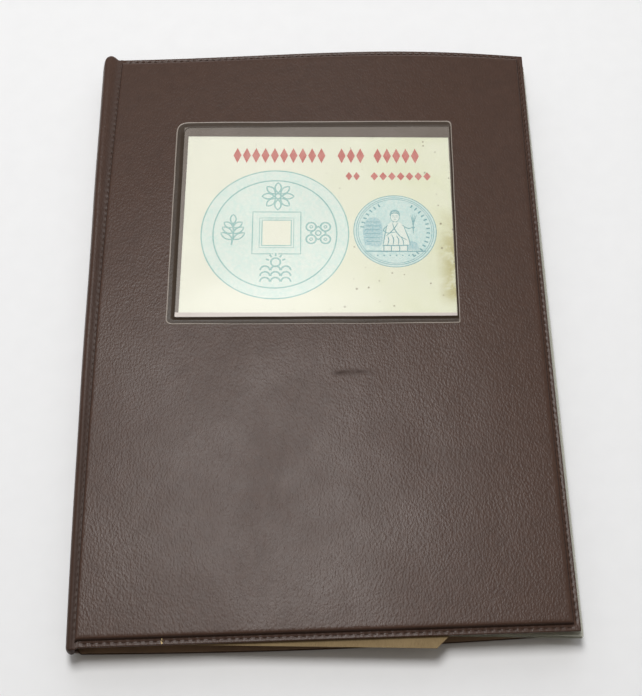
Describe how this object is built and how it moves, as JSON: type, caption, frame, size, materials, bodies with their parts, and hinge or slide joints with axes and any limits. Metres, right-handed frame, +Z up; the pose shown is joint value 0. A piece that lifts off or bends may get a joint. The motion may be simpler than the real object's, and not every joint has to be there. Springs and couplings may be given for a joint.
{
  "type": "coin album",
  "caption": "Brown padded vinyl coin album with a clear label window, a soft spine, post-bound clear pocket pages of coins and a loose kraft sheet.",
  "frame": {"origin": "middle of the flat outer face of the back cover, on which the closed album rests", "axes": "+X from the spine to the fore edge, +Y to the top edge of the covers, +Z up through the front cover"},
  "size_m": [0.2187, 0.3071, 0.0147],
  "materials": {
    "vinyl_skin": "semi-gloss grained vinyl leathercloth, dark brown",
    "greyboard": "matt pressed greyboard",
    "lining": "smooth matt brown vinyl",
    "thread": "twisted brown sewing thread",
    "clear_film": "clear flexible film, slightly yellowed",
    "binding_metal": "plain nickel-plated steel",
    "card_print": "cream card with faded red and blue-green print",
    "kraft_paper": "matt kraft paper",
    "bronze_coin": "dull cast bronze",
    "brass_coin": "struck brass, slightly tarnished",
    "aluminium_coin": "struck aluminium, satin",
    "nickel_coin": "struck nickel alloy, worn"
  },
  "bodies": {
    "back_cover": {"back_skin": "vinyl_skin", "back_board": "greyboard", "back_lining": "lining", "back_thread": "thread", "page_1_stub": "clear_film", "page_2_stub": "clear_film", "page_3_stub": "clear_film", "page_4_stub": "clear_film", "clamp_bar": "binding_metal", "binding_posts": "binding_metal", "post_screws": "binding_metal"},
    "spine": {"spine_skin": "vinyl_skin", "spine_stiffener": "greyboard", "spine_lining": "lining"},
    "front_cover": {"front_skin": "vinyl_skin", "front_board": "greyboard", "front_lining": "lining", "front_thread": "thread", "window_film": "clear_film", "kraft_sheet": "kraft_paper"},
    "label_card": {"label_card": "card_print"},
    "page_1": {"page_1_backing": "clear_film", "page_1_pockets": "clear_film", "page_1_coins": "bronze_coin"},
    "page_2": {"page_2_backing": "clear_film", "page_2_pockets": "clear_film", "page_2_coins": "brass_coin"},
    "page_3": {"page_3_backing": "clear_film", "page_3_pockets": "clear_film", "page_3_coins": "aluminium_coin"},
    "page_4": {"page_4_backing": "clear_film", "page_4_pockets": "clear_film", "page_4_coins": "nickel_coin"}
  },
  "joints": [
    {"name": "spine_fold", "type": "hinge", "parent": "back_cover", "child": "spine", "pos_m": [-0.1075, 0, 0.0028], "axis": [0, -1, 0], "range_deg": [0, 90]},
    {"name": "cover_fold", "type": "hinge", "parent": "spine", "child": "front_cover", "pos_m": [-0.1075, 0, 0.012], "axis": [0, -1, 0], "range_deg": [0, 90]},
    {"name": "card_slide", "type": "slide", "parent": "front_cover", "child": "label_card", "axis": [0.0175, 0.9998, 0], "range_m": [0, 0.003]},
    {"name": "page_1_turn", "type": "hinge", "parent": "back_cover", "child": "page_1", "pos_m": [-0.0854, 0, 0.0041], "axis": [0, -1, 0], "range_deg": [0, 36]},
    {"name": "page_2_turn", "type": "hinge", "parent": "back_cover", "child": "page_2", "pos_m": [-0.0876, 0, 0.0056], "axis": [0, -1, 0], "range_deg": [0, 72]},
    {"name": "page_3_turn", "type": "hinge", "parent": "back_cover", "child": "page_3", "pos_m": [-0.0898, 0, 0.0071], "axis": [0, -1, 0], "range_deg": [0, 108]},
    {"name": "page_4_turn", "type": "hinge", "parent": "back_cover", "child": "page_4", "pos_m": [-0.092, 0, 0.0086], "axis": [0, -1, 0], "range_deg": [0, 144]}
  ],
  "couplings": [
    {"joint": "cover_fold", "follows": "spine_fold", "ratio": 1},
    {"joint": "page_1_turn", "follows": "spine_fold", "ratio": 0.4},
    {"joint": "page_2_turn", "follows": "spine_fold", "ratio": 0.8},
    {"joint": "page_3_turn", "follows": "spine_fold", "ratio": 1.2},
    {"joint": "page_4_turn", "follows": "spine_fold", "ratio": 1.6}
  ]
}
